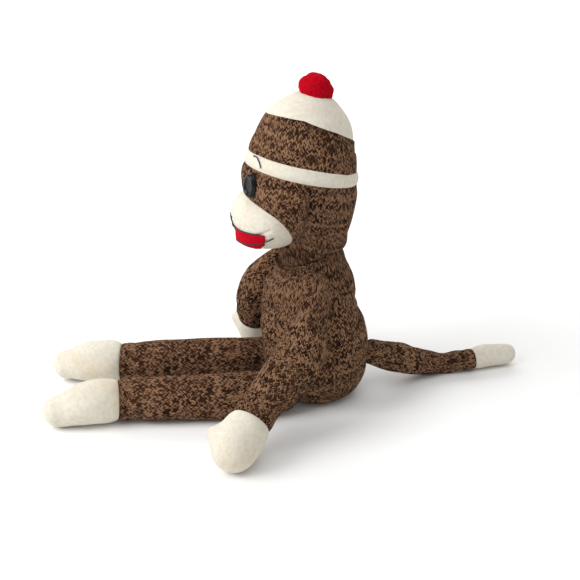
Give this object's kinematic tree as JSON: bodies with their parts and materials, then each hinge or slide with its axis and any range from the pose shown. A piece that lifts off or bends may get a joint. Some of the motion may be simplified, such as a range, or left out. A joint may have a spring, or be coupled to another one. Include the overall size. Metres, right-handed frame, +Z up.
{
  "type": "stuffed monkey",
  "caption": "Seated stuffed monkey in marled sock knit with fleece muzzle, hands, feet and tail tip, knit cap and pompom, and limbs, head and tail that turn.",
  "frame": {"origin": "middle of the flat seat, on the surface the toy sits on", "axes": "-Y is the way it faces, +X is its left side, +Z is up"},
  "size_m": [0.2504, 0.4192, 0.283],
  "materials": {
    "sock_knit": "marled dark brown and tan stockinette knit",
    "cream_fleece": "short-pile fleece",
    "red_fleece": "fluffy short-pile fleece",
    "red_felt": "smooth felt",
    "fibre_filling": "polyester fibre filling",
    "eye_plastic": "polished",
    "washer_plastic": "moulded",
    "black_thread": "embroidery thread",
    "brown_thread": "sewing thread"
  },
  "bodies": {
    "torso": {"torso_shell": "sock_knit", "torso_stuffing": "fibre_filling"},
    "neck": {"neck_plug": "fibre_filling", "neck_seam": "brown_thread"},
    "head": {"head_shell": "sock_knit", "head_stuffing": "fibre_filling", "forehead_band": "cream_fleece", "hat_cuff": "sock_knit", "hat_side": "sock_knit", "hat_crown": "cream_fleece", "pompom_cover": "red_fleece", "pompom_stuffing": "fibre_filling", "left_eye": "eye_plastic", "right_eye": "eye_plastic", "left_eye_washer": "washer_plastic", "right_eye_washer": "washer_plastic", "left_brow": "black_thread", "right_brow": "black_thread", "muzzle_shell": "cream_fleece", "muzzle_stuffing": "fibre_filling", "mouth_patch": "red_felt", "smile_thread": "black_thread", "nostril_stitches": "black_thread"},
    "left_ear": {"left_ear": "sock_knit"},
    "right_ear": {"right_ear": "sock_knit"},
    "left_shoulder": {"left_shoulder_seam": "brown_thread"},
    "left_arm": {"left_arm_shell": "sock_knit", "left_hand": "cream_fleece", "left_arm_stuffing": "fibre_filling"},
    "right_shoulder": {"right_shoulder_seam": "brown_thread"},
    "right_arm": {"right_arm_shell": "sock_knit", "right_hand": "cream_fleece", "right_arm_stuffing": "fibre_filling"},
    "left_hip": {"left_hip_seam": "brown_thread"},
    "left_leg": {"left_leg_shell": "sock_knit", "left_foot": "cream_fleece", "left_leg_stuffing": "fibre_filling"},
    "right_hip": {"right_hip_seam": "brown_thread"},
    "right_leg": {"right_leg_shell": "sock_knit", "right_foot": "cream_fleece", "right_leg_stuffing": "fibre_filling"},
    "tail_root": {"tail_seam": "brown_thread"},
    "tail": {"tail_shell": "sock_knit", "tail_tip": "cream_fleece", "tail_stuffing": "fibre_filling"}
  },
  "joints": [
    {"name": "neck_turn", "type": "hinge", "parent": "torso", "child": "neck", "pos_m": [0, -0.005, 0.131], "axis": [0, 0, 1], "range_deg": [-45, 45], "stiffness_Nm_per_rad": 0.05},
    {"name": "neck_nod", "type": "hinge", "parent": "neck", "child": "head", "pos_m": [0, -0.005, 0.131], "axis": [1, 0, 0], "range_deg": [-10, 14], "stiffness_Nm_per_rad": 0.3},
    {"name": "left_ear_fold", "type": "hinge", "parent": "head", "child": "left_ear", "pos_m": [0.04461, -0.01408, 0.17892], "axis": [0.0853, -0.2079, -0.9744], "range_deg": [-15, 15], "stiffness_Nm_per_rad": 0.002},
    {"name": "right_ear_fold", "type": "hinge", "parent": "head", "child": "right_ear", "pos_m": [-0.05225, -0.01408, 0.17044], "axis": [-0.0853, 0.2079, 0.9744], "range_deg": [-15, 15], "stiffness_Nm_per_rad": 0.002},
    {"name": "left_arm_raise", "type": "hinge", "parent": "torso", "child": "left_shoulder", "pos_m": [0.0425, -0.007, 0.117], "axis": [0, -1, 0], "range_deg": [0, 50]},
    {"name": "left_arm_swing", "type": "hinge", "parent": "left_shoulder", "child": "left_arm", "pos_m": [0.0425, -0.007, 0.117], "axis": [-1, 0, 0], "range_deg": [-15, 45]},
    {"name": "right_arm_raise", "type": "hinge", "parent": "torso", "child": "right_shoulder", "pos_m": [-0.0425, -0.007, 0.117], "axis": [0, 1, 0], "range_deg": [0, 50]},
    {"name": "right_arm_swing", "type": "hinge", "parent": "right_shoulder", "child": "right_arm", "pos_m": [-0.0425, -0.007, 0.117], "axis": [-1, 0, 0], "range_deg": [-15, 45]},
    {"name": "left_leg_spread", "type": "hinge", "parent": "torso", "child": "left_hip", "pos_m": [0.034, -0.036, 0.018], "axis": [0, 0, 1], "range_deg": [-3, 30]},
    {"name": "left_leg_lift", "type": "hinge", "parent": "left_hip", "child": "left_leg", "pos_m": [0.034, -0.036, 0.018], "axis": [-1, 0, 0], "range_deg": [-50, 25]},
    {"name": "right_leg_spread", "type": "hinge", "parent": "torso", "child": "right_hip", "pos_m": [-0.034, -0.036, 0.018], "axis": [0, 0, -1], "range_deg": [-3, 30]},
    {"name": "right_leg_lift", "type": "hinge", "parent": "right_hip", "child": "right_leg", "pos_m": [-0.034, -0.036, 0.018], "axis": [-1, 0, 0], "range_deg": [-50, 25]},
    {"name": "tail_wag", "type": "hinge", "parent": "torso", "child": "tail_root", "pos_m": [0, 0.049, 0.035], "axis": [0, 0, 1], "range_deg": [-35, 35]},
    {"name": "tail_lift", "type": "hinge", "parent": "tail_root", "child": "tail", "pos_m": [0, 0.049, 0.035], "axis": [1, 0, 0], "range_deg": [-20, 40]}
  ]
}
